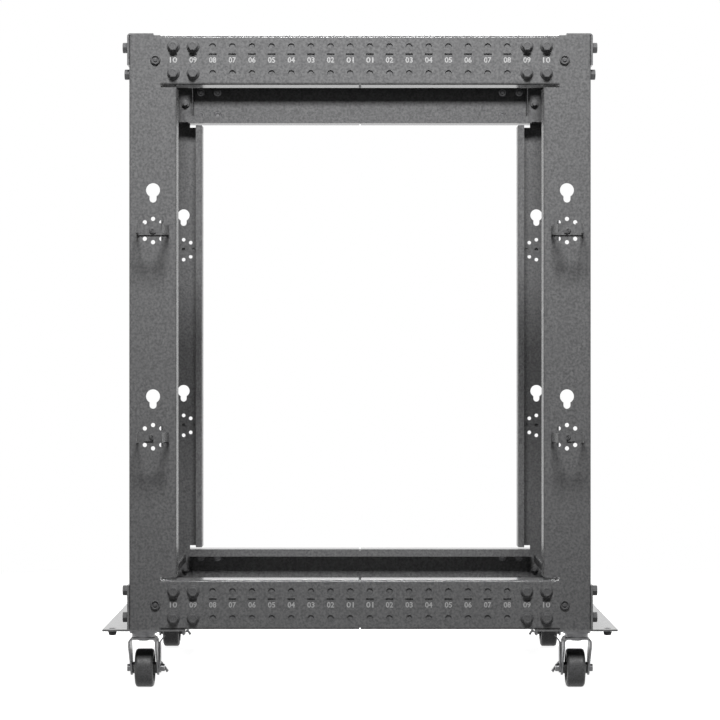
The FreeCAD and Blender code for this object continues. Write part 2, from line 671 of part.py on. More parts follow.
def caster_stem(label):
    """Threaded stem with its nut, the fixed disc of the bearing and the riveted kingpin."""
    body = new_body(label)
    profile = new_sketch(body, "XZ")
    head_top = "(Lines.crown_bottom - Sizes.swivel_gap)"
    outline(profile, [
        ("0", f"{head_top} - Sizes.kingpin_head_height"),
        ("Sizes.kingpin_head / 2", f"{head_top} - Sizes.kingpin_head_height"),
        ("Sizes.kingpin_head / 2", head_top),
        ("Sizes.kingpin / 2", head_top),
        ("Sizes.kingpin / 2", "Lines.race_bottom"),
        ("Sizes.race / 2", "Lines.race_bottom"),
        ("Sizes.race / 2", "Sizes.caster_height"),
        ("Sizes.stem / 2", "Sizes.caster_height"),
        ("Sizes.stem / 2", "Lines.foot_top + Sizes.stem_rise"),
        ("0", "Lines.foot_top + Sizes.stem_rise"),
    ])
    revolve(body, profile)
    nut = new_sketch(body, "XY", ("0", "0", "Lines.foot_top"))
    corners = [(f"Sizes.stem_nut / sqrt(3) * cos({60 * i} deg)", f"Sizes.stem_nut / sqrt(3) * sin({60 * i} deg)")
               for i in range(6)]
    outline(nut, corners)
    pad(body, nut, "Sizes.stem_nut_height")
    body.setExpression(".Placement.Base.x", "-Lines.kingpin_x")
    body.setExpression(".Placement.Base.y", "-Lines.kingpin_y")
    doc.recompute()
    return body


def caster_fork(label):
    """A fork bent from one blank, with the turning cup of the bearing and the axle bolt."""
    body = new_body(label)
    axle_y = "-Lines.axle_y"
    blank = new_sketch(body, "XZ", ("0", "0", "Lines.kingpin_y + Sizes.fork_front"))
    low = "Lines.axle_z"
    outline(blank, [
        ("-Lines.leg_outer", "Lines.crown_top"),
        ("-Lines.leg_outer", low),
        ("-Lines.leg_inner", low),
        ("-Lines.leg_inner", "Lines.crown_bottom"),
        ("-Lines.leg_inner - 2 * Lines.hub_half - 2 * Sizes.hub_gap", "Lines.crown_bottom"),
        ("-Lines.leg_inner - 2 * Lines.hub_half - 2 * Sizes.hub_gap", low),
        ("-Lines.leg_outer - Sizes.fork_width", low),
        ("-Lines.leg_outer - Sizes.fork_width", "Lines.crown_top"),
    ])
    pad(body, blank, "Sizes.fork_front + Sizes.trail + Sizes.fork_toe", reverse=True)
    for outside, reverse in (("-Lines.leg_outer", True), ("-Lines.leg_outer - Sizes.fork_width", False)):
        toe = new_sketch(body, "YZ", ("0", "0", outside))
        circle(toe, axle_y, low, "2 * Sizes.fork_toe")
        pad(body, toe, "Sizes.fork_sheet", reverse=reverse)
    legs = [-lines.leg_outer, -lines.leg_outer - sheet.fork_width]
    round_bends(body, "y", [(leg, lines.crown_top) for leg in legs], "Sizes.fork_bend + Sizes.fork_sheet")
    round_bends(body, "y", [(legs[0] - sheet.fork_sheet, lines.crown_bottom),
                            (legs[1] + sheet.fork_sheet, lines.crown_bottom)], "Sizes.fork_bend")

    # the legs narrow from the crown to the round toe about the axle
    trim = new_sketch(body, "YZ", ("0", "0", "-Lines.leg_outer + 1"))
    waist = "Lines.crown_top - Sizes.crown_skirt"
    front = "-Lines.kingpin_y - Sizes.fork_front"
    back = f"{axle_y} + Sizes.fork_toe"
    outline(trim, [
        (f"{front} - 1", waist),
        (front, waist),
        (f"{axle_y} - Sizes.fork_toe", low),
        (f"{front} - 1", low),
    ])
    outline(trim, [
        (back, low),
        ("-Lines.kingpin_y + Sizes.fork_front", waist),
        ("-Lines.kingpin_y + Sizes.fork_front", "Lines.crown_top + 1"),
        (f"{back} + 1", "Lines.crown_top + 1"),
        (f"{back} + 1", low),
    ])
    pocket(body, trim, "Sizes.fork_width + 2")

    cup = new_sketch(body, "XY", ("-Lines.kingpin_x", "-Lines.kingpin_y", "Lines.crown_top"))
    circle(cup, "0", "0", "Sizes.bearing")
    pad(body, cup, "Sizes.bearing_height")
    bore = new_sketch(body, "XY", ("-Lines.kingpin_x", "-Lines.kingpin_y", "Lines.cup_top"))
    circle(bore, "0", "0", "Sizes.kingpin + 2 * Sizes.pin_gap")
    pocket(body, bore, "Sizes.bearing_height + Sizes.fork_sheet + 1")

    nut_start = "(-Lines.lever_end + Sizes.swivel_gap)"
    outside = "(-Lines.leg_outer - Sizes.fork_width)"
    bolt = new_sketch(body, "YZ", ("0", "0", outside))
    circle(bolt, axle_y, "Lines.axle_z", "Sizes.axle")
    pad(body, bolt, f"{nut_start} - {outside}")
    head = new_sketch(body, "YZ", ("0", "0", outside))
    circle(head, axle_y, "Lines.axle_z", "Sizes.axle_head")
    pad(body, head, "Sizes.axle_head_height", reverse=True)
    nut = new_sketch(body, "YZ", ("0", "0", nut_start))
    circle(nut, axle_y, "Lines.axle_z", "Sizes.axle_head")
    pad(body, nut, "Sizes.axle_head_height")
    return body


def caster_wheel(label):
    """Tread with round shoulders, recessed sides and a long hub on the axle."""
    body = new_body(label)
    profile = new_sketch(body, "XY")
    half = "Sizes.tread / 2"
    bore = "Sizes.axle / 2 + Sizes.pin_gap"
    outline(profile, [
        (bore, "-Lines.hub_half"),
        ("Sizes.hub / 2", "-Lines.hub_half"),
        ("Sizes.hub / 2", f"-{half} + Sizes.rim_depth"),
        ("Sizes.rim / 2", f"-{half} + Sizes.rim_depth"),
        ("Sizes.rim / 2", f"-{half}"),
        ("Sizes.wheel / 2", f"-{half}"),
        ("Sizes.wheel / 2", half),
        ("Sizes.rim / 2", half),
        ("Sizes.rim / 2", f"{half} - Sizes.rim_depth"),
        ("Sizes.hub / 2", f"{half} - Sizes.rim_depth"),
        ("Sizes.hub / 2", "Lines.hub_half"),
        (bore, "Lines.hub_half"),
    ])
    revolve(body, profile)
    round_rims(body, sheet.wheel / 2, "Sizes.tread_round")
    body.Placement.Rotation = FreeCAD.Rotation(FreeCAD.Vector(0, 0, 1), 90)
    body.setExpression(".Placement.Base.x", "-Lines.kingpin_x")
    body.setExpression(".Placement.Base.y", "-Lines.axle_y")
    body.setExpression(".Placement.Base.z", "Lines.axle_z")
    doc.recompute()
    return body


def brake_lever(label):
    """A flat lever on the axle bolt: a short pedal and a long arm, both turned outward at the end."""
    body = new_body(label)
    boss = "Sizes.lever_boss / 2"
    toe = "-Lines.axle_y + Sizes.lever_length"
    arm = new_sketch(body, "YZ", ("0", "0", "-Lines.lever_start"))
    rectangle(arm, "-Lines.axle_y", toe, f"Lines.axle_z - {boss}", f"Lines.axle_z + {boss}")
    pad(body, arm, "Sizes.lever_sheet")
    end = new_sketch(body, "YZ", ("0", "0", "-Lines.lever_start"))
    circle(end, "-Lines.axle_y", "Lines.axle_z", "Sizes.lever_boss")
    pad(body, end, "Sizes.lever_sheet")
    pedal = new_sketch(body, "XZ", ("0", "0", f"-({toe})"))
    high = f"Lines.axle_z + {boss}"
    outline(pedal, [
        ("-Lines.lever_end", high),
        ("-Lines.lever_start", high),
        (f"-Lines.lever_start + Sizes.lever_pedal", f"{high} - Sizes.pedal_fall - Sizes.lever_sheet"),
        (f"-Lines.lever_end + Sizes.lever_pedal", f"{high} - Sizes.pedal_fall"),
    ])
    pad(body, pedal, "Sizes.lever_length / 2", reverse=False)
    upright = new_sketch(body, "YZ", ("0", "0", "-Lines.lever_start"))
    turn = "Lines.axle_z + Sizes.lever_rise"
    rectangle(upright, "-Lines.axle_y - Sizes.lever_arm / 2", "-Lines.axle_y + Sizes.lever_arm / 2",
              "Lines.axle_z", turn)
    pad(body, upright, "Sizes.lever_sheet")
    flare = new_sketch(body, "XZ", ("0", "0", "Lines.axle_y"))
    outline(flare, [
        ("-Lines.lever_start", turn),
        ("-Lines.lever_end", turn),
        ("-Lines.lever_end + Sizes.lever_flare", f"{turn} + Sizes.flare_rise"),
        ("-Lines.lever_start + Sizes.lever_flare", f"{turn} + Sizes.flare_rise"),
    ])
    pad(body, flare, "Sizes.lever_arm", middle=True)
    bore = new_sketch(body, "YZ", ("0", "0", "-Lines.lever_end"))
    circle(bore, "-Lines.axle_y", "Lines.axle_z", "Sizes.axle + 2 * Sizes.pin_gap")
    pocket(body, bore, "Sizes.lever_sheet + 1")
    return body


# ---------------------------------------------------------------------------------------------
# The assembly
# ---------------------------------------------------------------------------------------------

BEAM_LEVELS = {"top": "Lines.frame_top - Sizes.beam_height", "bottom": "Lines.foot_top"}

at_four_corners(post, "post")
for storey, low in BEAM_LEVELS.items():
    at_four_corners(half_beam(low), f"{storey}_beam")
    right = splice(low)(f"right_{storey}_splice")
    pieces.extend([right, mirrored(right, f"left_{storey}_splice", "y")])
for storey, make in (("top", top_cross_member), ("bottom", bottom_cross_member)):
    front = make(f"front_{storey}_cross_member")
    pieces.extend([front, mirrored(front, f"rear_{storey}_cross_member", "x")])
for storey, level in zip(("lower", "upper"), RING_LEVELS):
    at_four_corners(hook(level), f"{storey}_hook")
for make, name in ((caster_stem, "caster_stem"), (caster_fork, "caster_fork"),
                   (caster_wheel, "caster_wheel"), (brake_lever, "brake_lever")):
    at_four_corners(make, name)

doc.recompute()
for obj in doc.Objects:
    if "Invalid" in obj.State or "Error" in obj.State:
        raise RuntimeError(f"{obj.Label} did not compute: {obj.State}")
for piece in pieces:
    shape = piece.Shape
    if shape.isNull() or not shape.isValid() or len(shape.Solids) != 1:
        raise RuntimeError(f"{piece.Label} is not one valid solid")

os.makedirs("parts", exist_ok=True)
for piece in pieces:
    piece.Shape.exportStep(f"parts/{piece.Label}.step")
print(len(pieces), "pieces written")
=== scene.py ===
import json
import math

import bmesh
import bpy
from mathutils import Matrix, Vector


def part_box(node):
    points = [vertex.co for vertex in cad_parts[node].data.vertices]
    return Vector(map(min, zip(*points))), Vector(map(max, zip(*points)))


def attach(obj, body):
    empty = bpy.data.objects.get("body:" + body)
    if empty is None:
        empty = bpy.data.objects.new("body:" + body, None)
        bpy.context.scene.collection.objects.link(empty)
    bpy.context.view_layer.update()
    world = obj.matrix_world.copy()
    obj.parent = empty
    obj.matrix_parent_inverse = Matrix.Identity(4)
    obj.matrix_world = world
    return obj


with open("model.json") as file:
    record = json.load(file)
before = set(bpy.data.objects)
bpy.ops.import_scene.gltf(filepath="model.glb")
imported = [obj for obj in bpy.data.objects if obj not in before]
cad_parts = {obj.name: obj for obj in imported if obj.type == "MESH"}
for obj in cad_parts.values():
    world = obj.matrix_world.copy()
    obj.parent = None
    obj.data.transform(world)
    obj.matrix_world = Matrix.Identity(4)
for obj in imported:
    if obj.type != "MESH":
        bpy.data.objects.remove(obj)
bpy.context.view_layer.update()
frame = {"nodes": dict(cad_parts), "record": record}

# ---------------------------------------------------------------------------------------------
# Places taken from the frame
# ---------------------------------------------------------------------------------------------

RACK = "rack"
SIDES = {"right": -1, "left": 1}
ENDS = {"front": -1, "rear": 1}
ROWS = (-1, 1)

post_low, post_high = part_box("front_right_post")
splice_low, splice_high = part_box("right_top_splice")
beam_low, beam_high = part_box("rear_left_top_beam")
face = -post_low.x
side_plane = -post_low.y
post_middle = (post_low.z + post_high.z) / 2
sheet = side_plane + splice_low.y
splice_inside = side_plane - 2 * sheet
beam_lip = beam_low.y
beam_height = beam_high.z - beam_low.z
beam_middles = {storey: sum(corner.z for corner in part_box(f"front_right_{storey}_beam")) / 2
                for storey in ("top", "bottom")}
cross_face = -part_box("front_top_cross_member")[0].x
foot_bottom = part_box("front_bottom_cross_member")[0].z
anchors = next(m for m in frame["record"]["mounts"] if m["name"] == "floor_anchors")["dims"]

# Sizes of the solids that their boxes don't give
COLUMN_PITCH = 0.0254        # between the columns of adjustment holes
COLUMN_ROWS = 0.0347         # between the two holes of a column
BOLTED_COLUMNS = 2           # columns with bolts in them, at each end of a splice
FACE_BOLT_INSET = 0.015      # side plane to the bolts of the cross members
CORNER_SCREW_LINE = 0.0341   # face of the post to the screw in its side plate
CORNER_TAB = 0.0025          # tab of a cross member inside the side plate
HOOK_SHEET = 0.002           # strip of a cable hook
columns = round(splice_high.x / COLUMN_PITCH)

# ---------------------------------------------------------------------------------------------
# Modelling helpers
# ---------------------------------------------------------------------------------------------

SLIVER = 0.0001
SMOOTH_UNDER = math.radians(32)


def only(piece):
    """Make one piece the selected and active one."""
    bpy.ops.object.select_all(action="DESELECT")
    piece.select_set(True)
    bpy.context.view_layer.objects.active = piece


def named(name):
    """Name the piece just added, and bring its place into its mesh."""
    piece = bpy.context.active_object
    piece.name = name
    piece.data.name = name
    only(piece)
    bpy.ops.object.transform_apply(location=True, rotation=True, scale=True)
    return piece


def open_mesh(piece, kind):
    """Go into edit mode with nothing selected, to select by "EDGE" or "FACE"."""
    only(piece)
    bpy.ops.object.mode_set(mode="EDIT")
    bpy.ops.mesh.select_mode(type=kind)
    bpy.ops.mesh.select_all(action="DESELECT")
    return bmesh.from_edit_mesh(piece.data)


def close_mesh():
    """Turn all faces outwards and leave edit mode."""
    bpy.ops.mesh.select_all(action="SELECT")
    bpy.ops.mesh.normals_make_consistent(inside=False)
    bpy.ops.object.mode_set(mode="OBJECT")


def combine(piece, tool, operation):
    """Join, cut or intersect one piece with another, which is used up."""
    boolean = piece.modifiers.new(operation.title(), "BOOLEAN")
    boolean.operation = operation
    boolean.object = tool
    boolean.solver = "EXACT"
    only(piece)
    bpy.ops.object.modifier_apply(modifier=boolean.name)
    bpy.data.objects.remove(tool)
    return piece


def smooth(piece):
    """Shade the shallow bends of a piece as curves, and keep its sharp edges."""
    only(piece)
    bpy.ops.object.shade_smooth_by_angle(angle=SMOOTH_UNDER)
    return piece


def turned(name, profile, sides=32):
    """A round piece about Z, extruded and scaled through pairs of radius and height."""
    (radius, height), *stations = profile
    bpy.ops.mesh.primitive_circle_add(vertices=sides, radius=radius, fill_type="NGON",
                                      location=(0, 0, height))
    piece = named(name)
    open_mesh(piece, "FACE")
    bpy.ops.mesh.select_all(action="SELECT")
    for next_radius, next_height in stations:
        bpy.ops.mesh.extrude_region_move(
            TRANSFORM_OT_translate={"value": (0, 0, next_height - height)})
        bpy.ops.transform.resize(value=(next_radius / radius, next_radius / radius, 1))
        radius, height = next_radius, next_height
    close_mesh()
    return piece


def hexagon(name, across_flats, height, chamfer):
    """A hexagonal prism on its seat whose upper corners are turned off."""
    corner = across_flats / math.sqrt(3)
    bpy.ops.mesh.primitive_cylinder_add(vertices=6, radius=corner, depth=height,
                                        location=(0, 0, height / 2))
    prism = named(name)
    cone = turned(f"{name}_turning", [(corner + SLIVER, -SLIVER),
                                      (corner + SLIVER, height - chamfer / 2),
                                      (corner - chamfer, height + SLIVER)], sides=48)
    return combine(prism, cone, "INTERSECT")


def cut_cross(head, level, length, width, depth, turns):
    """Cut a recess of two crossed bars into a head."""
    for turn in turns:
        bpy.ops.mesh.primitive_cube_add(size=1, location=(0, 0, level), rotation=(0, 0, turn),
                                        scale=(length, width, depth))
        combine(head, named(f"{head.name}_recess"), "DIFFERENCE")


def as_one(parts, name, material):
    """Join parts into one piece of the rack, with its place in its mesh."""
    bpy.ops.object.select_all(action="DESELECT")
    for part in parts:
        part.select_set(True)
    bpy.context.view_layer.objects.active = parts[0]
    bpy.ops.object.transform_apply(location=True, rotation=True, scale=True)
    bpy.ops.object.join()
    piece = bpy.context.active_object
    piece.name = name
    piece.data.name = name
    piece.data.materials.append(material)
    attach(piece, RACK)
    return piece


def lay_out(master, name, seats, material):
    """Copies of a master as one piece, each on a seat: a point, an outward direction and a turn."""
    copies = []
    for place, outward, turn in seats:
        copy = master.copy()
        copy.data = master.data.copy()
        bpy.context.scene.collection.objects.link(copy)
        copy.matrix_world = (Matrix.Translation(place)
                             @ Vector(outward).to_track_quat("Z", "Y").to_matrix().to_4x4()
                             @ Matrix.Rotation(turn, 4, "Z"))
        copies.append(copy)
    piece = as_one(copies, name, material)


# ---------------------------------------------------------------------------------------------
# Finishes
# ---------------------------------------------------------------------------------------------


class Finish:
    """A Principled material with short ways to add the nodes that feed it."""

    def __init__(self, name, roughness, metallic=0.0, ior=1.5):
        self.material = bpy.data.materials.new(name)
        self.material.use_nodes = True
        self.tree = self.material.node_tree
        self.shader = self.tree.nodes["Principled BSDF"]
        for socket, number in (("Roughness", roughness), ("Metallic", metallic), ("IOR", ior)):
            self.shader.inputs[socket].default_value = number
        self.place = self.tree.nodes.new("ShaderNodeTexCoord").outputs["Object"]

    def noise(self, size, detail=2.0, roughness=0.5):
        """Noise whose lumps are about this many metres across."""
        node = self.tree.nodes.new("ShaderNodeTexNoise")
        node.inputs["Scale"].default_value = 1 / size
        node.inputs["Detail"].default_value = detail
        node.inputs["Roughness"].default_value = roughness
        self.tree.links.new(self.place, node.inputs["Vector"])
        return node.outputs["Fac"]

    def spread(self, value, low, high, start=0.3, end=0.7):
        """Map a value from the range between start and end to the one between low and high."""
        node = self.tree.nodes.new("ShaderNodeMapRange")
        for socket, number in (("From Min", start), ("From Max", end),
                               ("To Min", low), ("To Max", high)):
            node.inputs[socket].default_value = number
        self.tree.links.new(value, node.inputs["Value"])
        return node.outputs["Result"]

    def mix(self, share, first, second):
        """Mix two colours by a share, each given as numbers or as a node's output."""
        node = self.tree.nodes.new("ShaderNodeMix")
        node.data_type = "RGBA"
        self.tree.links.new(share, node.inputs["Factor"])
        for socket, colour in (("A", first), ("B", second)):
            target = next(i for i in node.inputs if i.name == socket and i.type == "RGBA")
            if isinstance(colour, tuple):
                target.default_value = (*colour, 1)
            else:
                self.tree.links.new(colour, target)
        return next(o for o in node.outputs if o.type == "RGBA")

    def bump(self, height, distance, strength=1.0):
        """Raise the surface by a height between 0 and 1, which stands for this many metres."""
        node = self.tree.nodes.new("ShaderNodeBump")
        node.inputs["Distance"].default_value = distance
        node.inputs["Strength"].default_value = strength
        self.tree.links.new(height, node.inputs["Height"])
        self.feed("Normal", node.outputs["Normal"])

    def feed(self, socket, value):
        """Link a node's output to one of the shader's sockets."""
        self.tree.links.new(value, self.shader.inputs[socket])


def powder_coat(name, smoothest, roughest, ior, texture):
    """Fine textured coat: speckled, slightly mottled, bright only where it is seen edge on."""
    finish = Finish(name, roughness=smoothest, ior=ior)
    speckle = finish.spread(finish.noise(size=0.0032, roughness=0.6), 0.0, 1.0, start=0.34, end=0.66)
    grain = finish.mix(speckle, (0.1, 0.1, 0.102), (0.18, 0.18, 0.182))
    cloud = finish.spread(finish.noise(size=0.03, detail=3.0), 0.0, 0.4)
    finish.feed("Base Color", finish.mix(cloud, grain, (0.138, 0.138, 0.14)))
    finish.feed("Roughness", finish.spread(finish.noise(size=0.006), smoothest, roughest))
    finish.bump(finish.noise(size=0.0011, detail=1.0), texture)
    return finish.material


def bolt_black():
    """Fasteners in the colour of the frame, without its coarse speckle."""
    finish = Finish("bolt_black", roughness=0.4, ior=1.18)
    speckle = finish.spread(finish.noise(size=0.0015), 0.0, 1.0)
    finish.feed("Base Color", finish.mix(speckle, (0.09, 0.09, 0.092), (0.15, 0.15, 0.152)))
    finish.bump(finish.noise(size=0.0006), distance=0.00008, strength=0.5)
    return finish.material


def plated_steel():
    """Pressed steel with a dark zinc plating."""
    finish = Finish("plated_steel", roughness=0.34, metallic=0.85)
    cloud = finish.spread(finish.noise(size=0.008, detail=4.0), 0.0, 1.0)
    finish.feed("Base Color", finish.mix(cloud, (0.1, 0.1, 0.103), (0.17, 0.17, 0.174)))
    finish.feed("Roughness", finish.spread(finish.noise(size=0.004), 0.28, 0.42))
    finish.bump(finish.noise(size=0.0012), distance=0.00005, strength=0.5)
    return finish.material


def wheel_black():
    """Satin black nylon with fine scuffs."""
    finish = Finish("wheel_black", roughness=0.4, ior=1.35)
    scuffs = finish.spread(finish.noise(size=0.002, detail=5.0, roughness=0.7), 0.0, 1.0,
                           start=0.35, end=0.75)
    finish.feed("Base Color", finish.mix(scuffs, (0.04, 0.04, 0.041), (0.12, 0.12, 0.122)))
    finish.feed("Roughness", finish.spread(finish.noise(size=0.005), 0.35, 0.5))
    finish.bump(finish.noise(size=0.0015), distance=0.0001, strength=0.5)
    return finish.material


def print_white():
    """Screen printed white, a little thin in places."""
    finish = Finish("print_white", roughness=0.55, ior=1.3)
    thin = finish.spread(finish.noise(size=0.0012, detail=3.0), 0.0, 1.0, start=0.55, end=0.8)
    finish.feed("Base Color", finish.mix(thin, (0.42, 0.42, 0.42), (0.26, 0.26, 0.26)))
    return finish.material


COAT = powder_coat("powder_coat", smoothest=0.2, roughest=0.32, ior=1.18, texture=0.00004)
BEAM_COAT = powder_coat("powder_coat_beams", smoothest=0.07, roughest=0.12, ior=1.25,
                        texture=0.00002)
SMOOTH_COAT = powder_coat("powder_coat_smooth", smoothest=0.04, roughest=0.08, ior=1.45,
                          texture=0.00002)
BOLT = bolt_black()
STEEL = plated_steel()
WHEEL = wheel_black()
PRINT = print_white()

SLOT_FINISHES = {"frame_coat": COAT, "hook_coat": COAT, "zinc": STEEL, "wheel_black": WHEEL}
SMOOTHER_PIECES = {"cross_member": SMOOTH_COAT, "beam": BEAM_COAT}

for part in frame["record"]["subparts"]:
    finish = SLOT_FINISHES[part["material_slot"]]
    for ending, smoother in SMOOTHER_PIECES.items():
        if part["node"].endswith(ending):
            finish = smoother
    node = frame["nodes"][part["node"]]
    node.data.materials.clear()
    node.data.materials.append(finish)

# ---------------------------------------------------------------------------------------------
# Fasteners
# ---------------------------------------------------------------------------------------------

# Each stands on its seat at the origin and points up.  Its foot goes a little below the seat.
SUNK = -0.0003


def flange_bolt():
    """Hexagonal head that rises from a broad conical flange."""
    flange = turned("flange_bolt", [(0.0082, SUNK), (0.0085, 0.0004), (0.0083, 0.001),
                                    (0.0058, 0.0044), (0.0053, 0.0048)], sides=36)
    head = hexagon("flange_bolt_head", across_flats=0.0105, height=0.0082, chamfer=0.0011)
    dish = turned("flange_bolt_dish", [(0.0034, 0.0078), (0.0042, 0.0083)], sides=24)
    combine(head, dish, "DIFFERENCE")
    return smooth(combine(flange, head, "UNION"))


def washer_bolt():
    """Plain hexagonal head on a thin washer."""
    washer = turned("washer_bolt", [(0.0075, SUNK), (0.0076, 0.0003), (0.0074, 0.0009),
                                    (0.0062, 0.001)])
    head = hexagon("washer_bolt_head", across_flats=0.0125, height=0.0068, chamfer=0.0013)
    return smooth(combine(washer, head, "UNION"))


def pan_screw():
    """Domed head with a cross recess."""
    radius = 0.0048
    height = 0.0028
    dome = [(1.0, 0.25), (0.94, 0.52), (0.8, 0.78), (0.55, 0.94), (0.2, 1.0)]
    head = turned("pan_screw", [(radius, SUNK)] + [(radius * out, height * up) for out, up in dome])
    cut_cross(head, level=height, length=radius * 1.05, width=radius * 0.2, depth=height * 0.9,
              turns=(0, math.pi / 2))
    return smooth(head)


def dished_screw():
    """Button head with a dished ring about a raised centre, and a cross cut into that centre."""
    head = turned("dished_screw", [(0.0066, SUNK), (0.0066, 0.0007), (0.0062, 0.0026),
                                   (0.0055, 0.0034), (0.0049, 0.0035), (0.0036, 0.0014),
                                   (0.0028, 0.0012), (0.0023, 0.003), (0.0017, 0.0033)], sides=36)
    cut_cross(head, level=0.0036, length=0.0034, width=0.0006, depth=0.0012,
              turns=(math.pi / 4, -math.pi / 4))
    return smooth(head)


def nut_and_thread():
    """Low collar nut with the end of its bolt standing out of it."""
    flange = turned("nut", [(0.0064, SUNK), (0.0066, 0.0003), (0.0064, 0.0008),
                            (0.0056, 0.0013)], sides=28)
    body = hexagon("nut_body", across_flats=0.01, height=0.004, chamfer=0.0009)
    crest = 0.0037
    root = 0.0033
    pitch = 0.00125
    start = 0.003
    turns = 4
    rings = [(crest if step % 2 else root, start + step * pitch / 2)
             for step in range(2 * turns + 1)]
    tip = (root * 0.85, rings[-1][1] + pitch / 3)
    thread = turned("nut_thread", rings + [tip], sides=20)
    combine(flange, body, "UNION")
    return smooth(combine(flange, thread, "UNION"))


def press_nut():
    """Low round nut pressed into the sheet, with the end of its bolt just through it."""
    return smooth(turned("press_nut", [(0.006, SUNK), (0.006, 0.0012), (0.0055, 0.0018),
                                       (0.0038, 0.0018), (0.0036, 0.0012), (0.0031, 0.0012),
                                       (0.0031, 0.0034), (0.0026, 0.004)], sides=28))


def anchor_bolt():
    """Low head that tapers to a blunt end with a hexagonal socket."""
    head = turned("anchor_bolt", [(0.0054, SUNK), (0.0054, 0.0028), (0.005, 0.0048),
                                  (0.0042, 0.006), (0.0028, 0.0065)], sides=28)
    socket_floor = 0.0045
    socket = hexagon("anchor_bolt_socket", across_flats=0.004, height=0.004, chamfer=0.0002)
    socket.data.transform(Matrix.Translation((0, 0, socket_floor)))
    return smooth(combine(head, socket, "DIFFERENCE"))


beam_bolt = flange_bolt()
face_bolt = washer_bolt()
corner_screw = dished_screw()
hook_screw = pan_screw()
inner_nut = press_nut()
corner_nut = nut_and_thread()
plate_bolt = anchor_bolt()

# ---------------------------------------------------------------------------------------------
# Channel ends of the top beams, inside the posts
# ---------------------------------------------------------------------------------------------

TONGUE_LENGTH = 0.036
TONGUE_LAP = 0.002           # over the end of the splice
TONGUE_SHEET = 0.0003
tongue_seat = side_plane - sheet - CORNER_TAB
tongue_inside = tongue_seat - TONGUE_SHEET
tongue_middle = splice_high.x - TONGUE_LAP + TONGUE_LENGTH / 2


def beam_tongue(length, height, depth, thickness):
    """A channel along X whose web lies on its seat and whose flanges point up."""
    bpy.ops.mesh.primitive_plane_add(size=1)
    channel = named("beam_tongue")
    mesh = open_mesh(channel, "EDGE")
    bpy.ops.mesh.select_all(action="SELECT")
    bpy.ops.transform.resize(value=(length, height, 1))
    bpy.ops.mesh.select_all(action="DESELECT")
    for edge in mesh.edges:
        edge.select_set(all(abs(abs(v.co.y) - height / 2) < SLIVER for v in edge.verts))
    bmesh.update_edit_mesh(channel.data)
    bpy.ops.mesh.extrude_region_move(TRANSFORM_OT_translate={"value": (0, 0, depth)})
    close_mesh()
    bends = channel.modifiers.new("Bends", "BEVEL")
    bends.width = thickness / 3
    bends.segments = 2
    wall = channel.modifiers.new("Wall", "SOLIDIFY")
    wall.thickness = thickness
    wall.offset = 0
    only(channel)
    for modifier in (bends.name, wall.name):
        bpy.ops.object.modifier_apply(modifier=modifier)
    return smooth(channel)


tongue = beam_tongue(TONGUE_LENGTH, beam_height - 2 * sheet, tongue_seat - beam_lip, TONGUE_SHEET)

# ---------------------------------------------------------------------------------------------
# Fasteners and channel ends in their places
# ---------------------------------------------------------------------------------------------

FLAT_DOWN = math.pi / 6
DIAGONAL = math.pi / 4
DOWN = (0, 0, -1)

bolted_columns = [(columns - n - 0.5) * COLUMN_PITCH for n in range(BOLTED_COLUMNS)]
beam_bolt_spots = [(x * along, middle + row * COLUMN_ROWS / 2)
                   for middle in beam_middles.values() for x in ENDS.values()
                   for along in bolted_columns for row in ROWS]
corner_spots = [(x * (face - CORNER_SCREW_LINE), middle)
                for middle in beam_middles.values() for x in ENDS.values()]


def hook_spots(side):
    """Where the screws of the cable hooks sit on one side."""
    boxes = [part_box(f"{end}_{side}_{storey}_hook") for end in ENDS for storey in ("lower", "upper")]
    return [((low.x + high.x) / 2, (low.z + high.z) / 2) for low, high in boxes]


def dress_side(side, y):
    """The fasteners and channel ends of one side."""
    outward = (0, y, 0)
    inward = (0, -y, 0)
    tongue_web = y * (tongue_seat - TONGUE_SHEET / 2)
    lay_out(beam_bolt, f"{side}_beam_bolts",
            [((x, y * side_plane, z), outward, FLAT_DOWN) for x, z in beam_bolt_spots],
            BOLT)
    lay_out(inner_nut, f"{side}_beam_nuts",
            [((x, y * splice_inside, z), inward, FLAT_DOWN) for x, z in beam_bolt_spots],
            STEEL)
    lay_out(tongue, f"{side}_beam_tongues",
            [((x * tongue_middle, tongue_web, beam_middles["top"]), inward, 0)
             for x in ENDS.values()],
            COAT)
    lay_out(corner_screw, f"{side}_corner_screws",
            [((x, y * side_plane, z), outward, DIAGONAL) for x, z in corner_spots],
            BOLT)
    lay_out(corner_nut, f"{side}_corner_nuts",
            [((x, y * (tongue_inside if z > post_middle else tongue_seat), z), inward, 0)
             for x, z in corner_spots],
            BOLT)
    lay_out(hook_screw, f"{side}_hook_screws",
            [((x, y * (side_plane + HOOK_SHEET), z), outward, DIAGONAL) for x, z in hook_spots(side)],
            BOLT)


def dress_end(end, x):
    """The bolts between posts and cross members at one end, and those in its foot plate."""
    bolt_seats = []
    nut_seats = []
    for y in SIDES.values():
        across = y * (side_plane - FACE_BOLT_INSET)
        for storey, middle in beam_middles.items():
            for row in ROWS:
                # the top cross member ends above the lower row, so that row sits on the post
                seat = face if storey == "top" and row < 0 else cross_face
                level = middle + row * COLUMN_ROWS / 2
                bolt_seats.append(((x * seat, across, level), (x, 0, 0), FLAT_DOWN))
                nut_seats.append(((x * (face - sheet), across, level), (-x, 0, 0), FLAT_DOWN))
    lay_out(face_bolt, f"{end}_face_bolts", bolt_seats, BOLT)
    lay_out(inner_nut, f"{end}_face_nuts", nut_seats, STEEL)
    anchor_x, anchor_y = (anchors[f"spacing_{axis}_mm"] / 2 / 1000 for axis in "xy")
    lay_out(plate_bolt, f"{end}_anchor_bolts",
            [((x * anchor_x, y * anchor_y, foot_bottom), DOWN, 0) for y in SIDES.values()],
            BOLT)


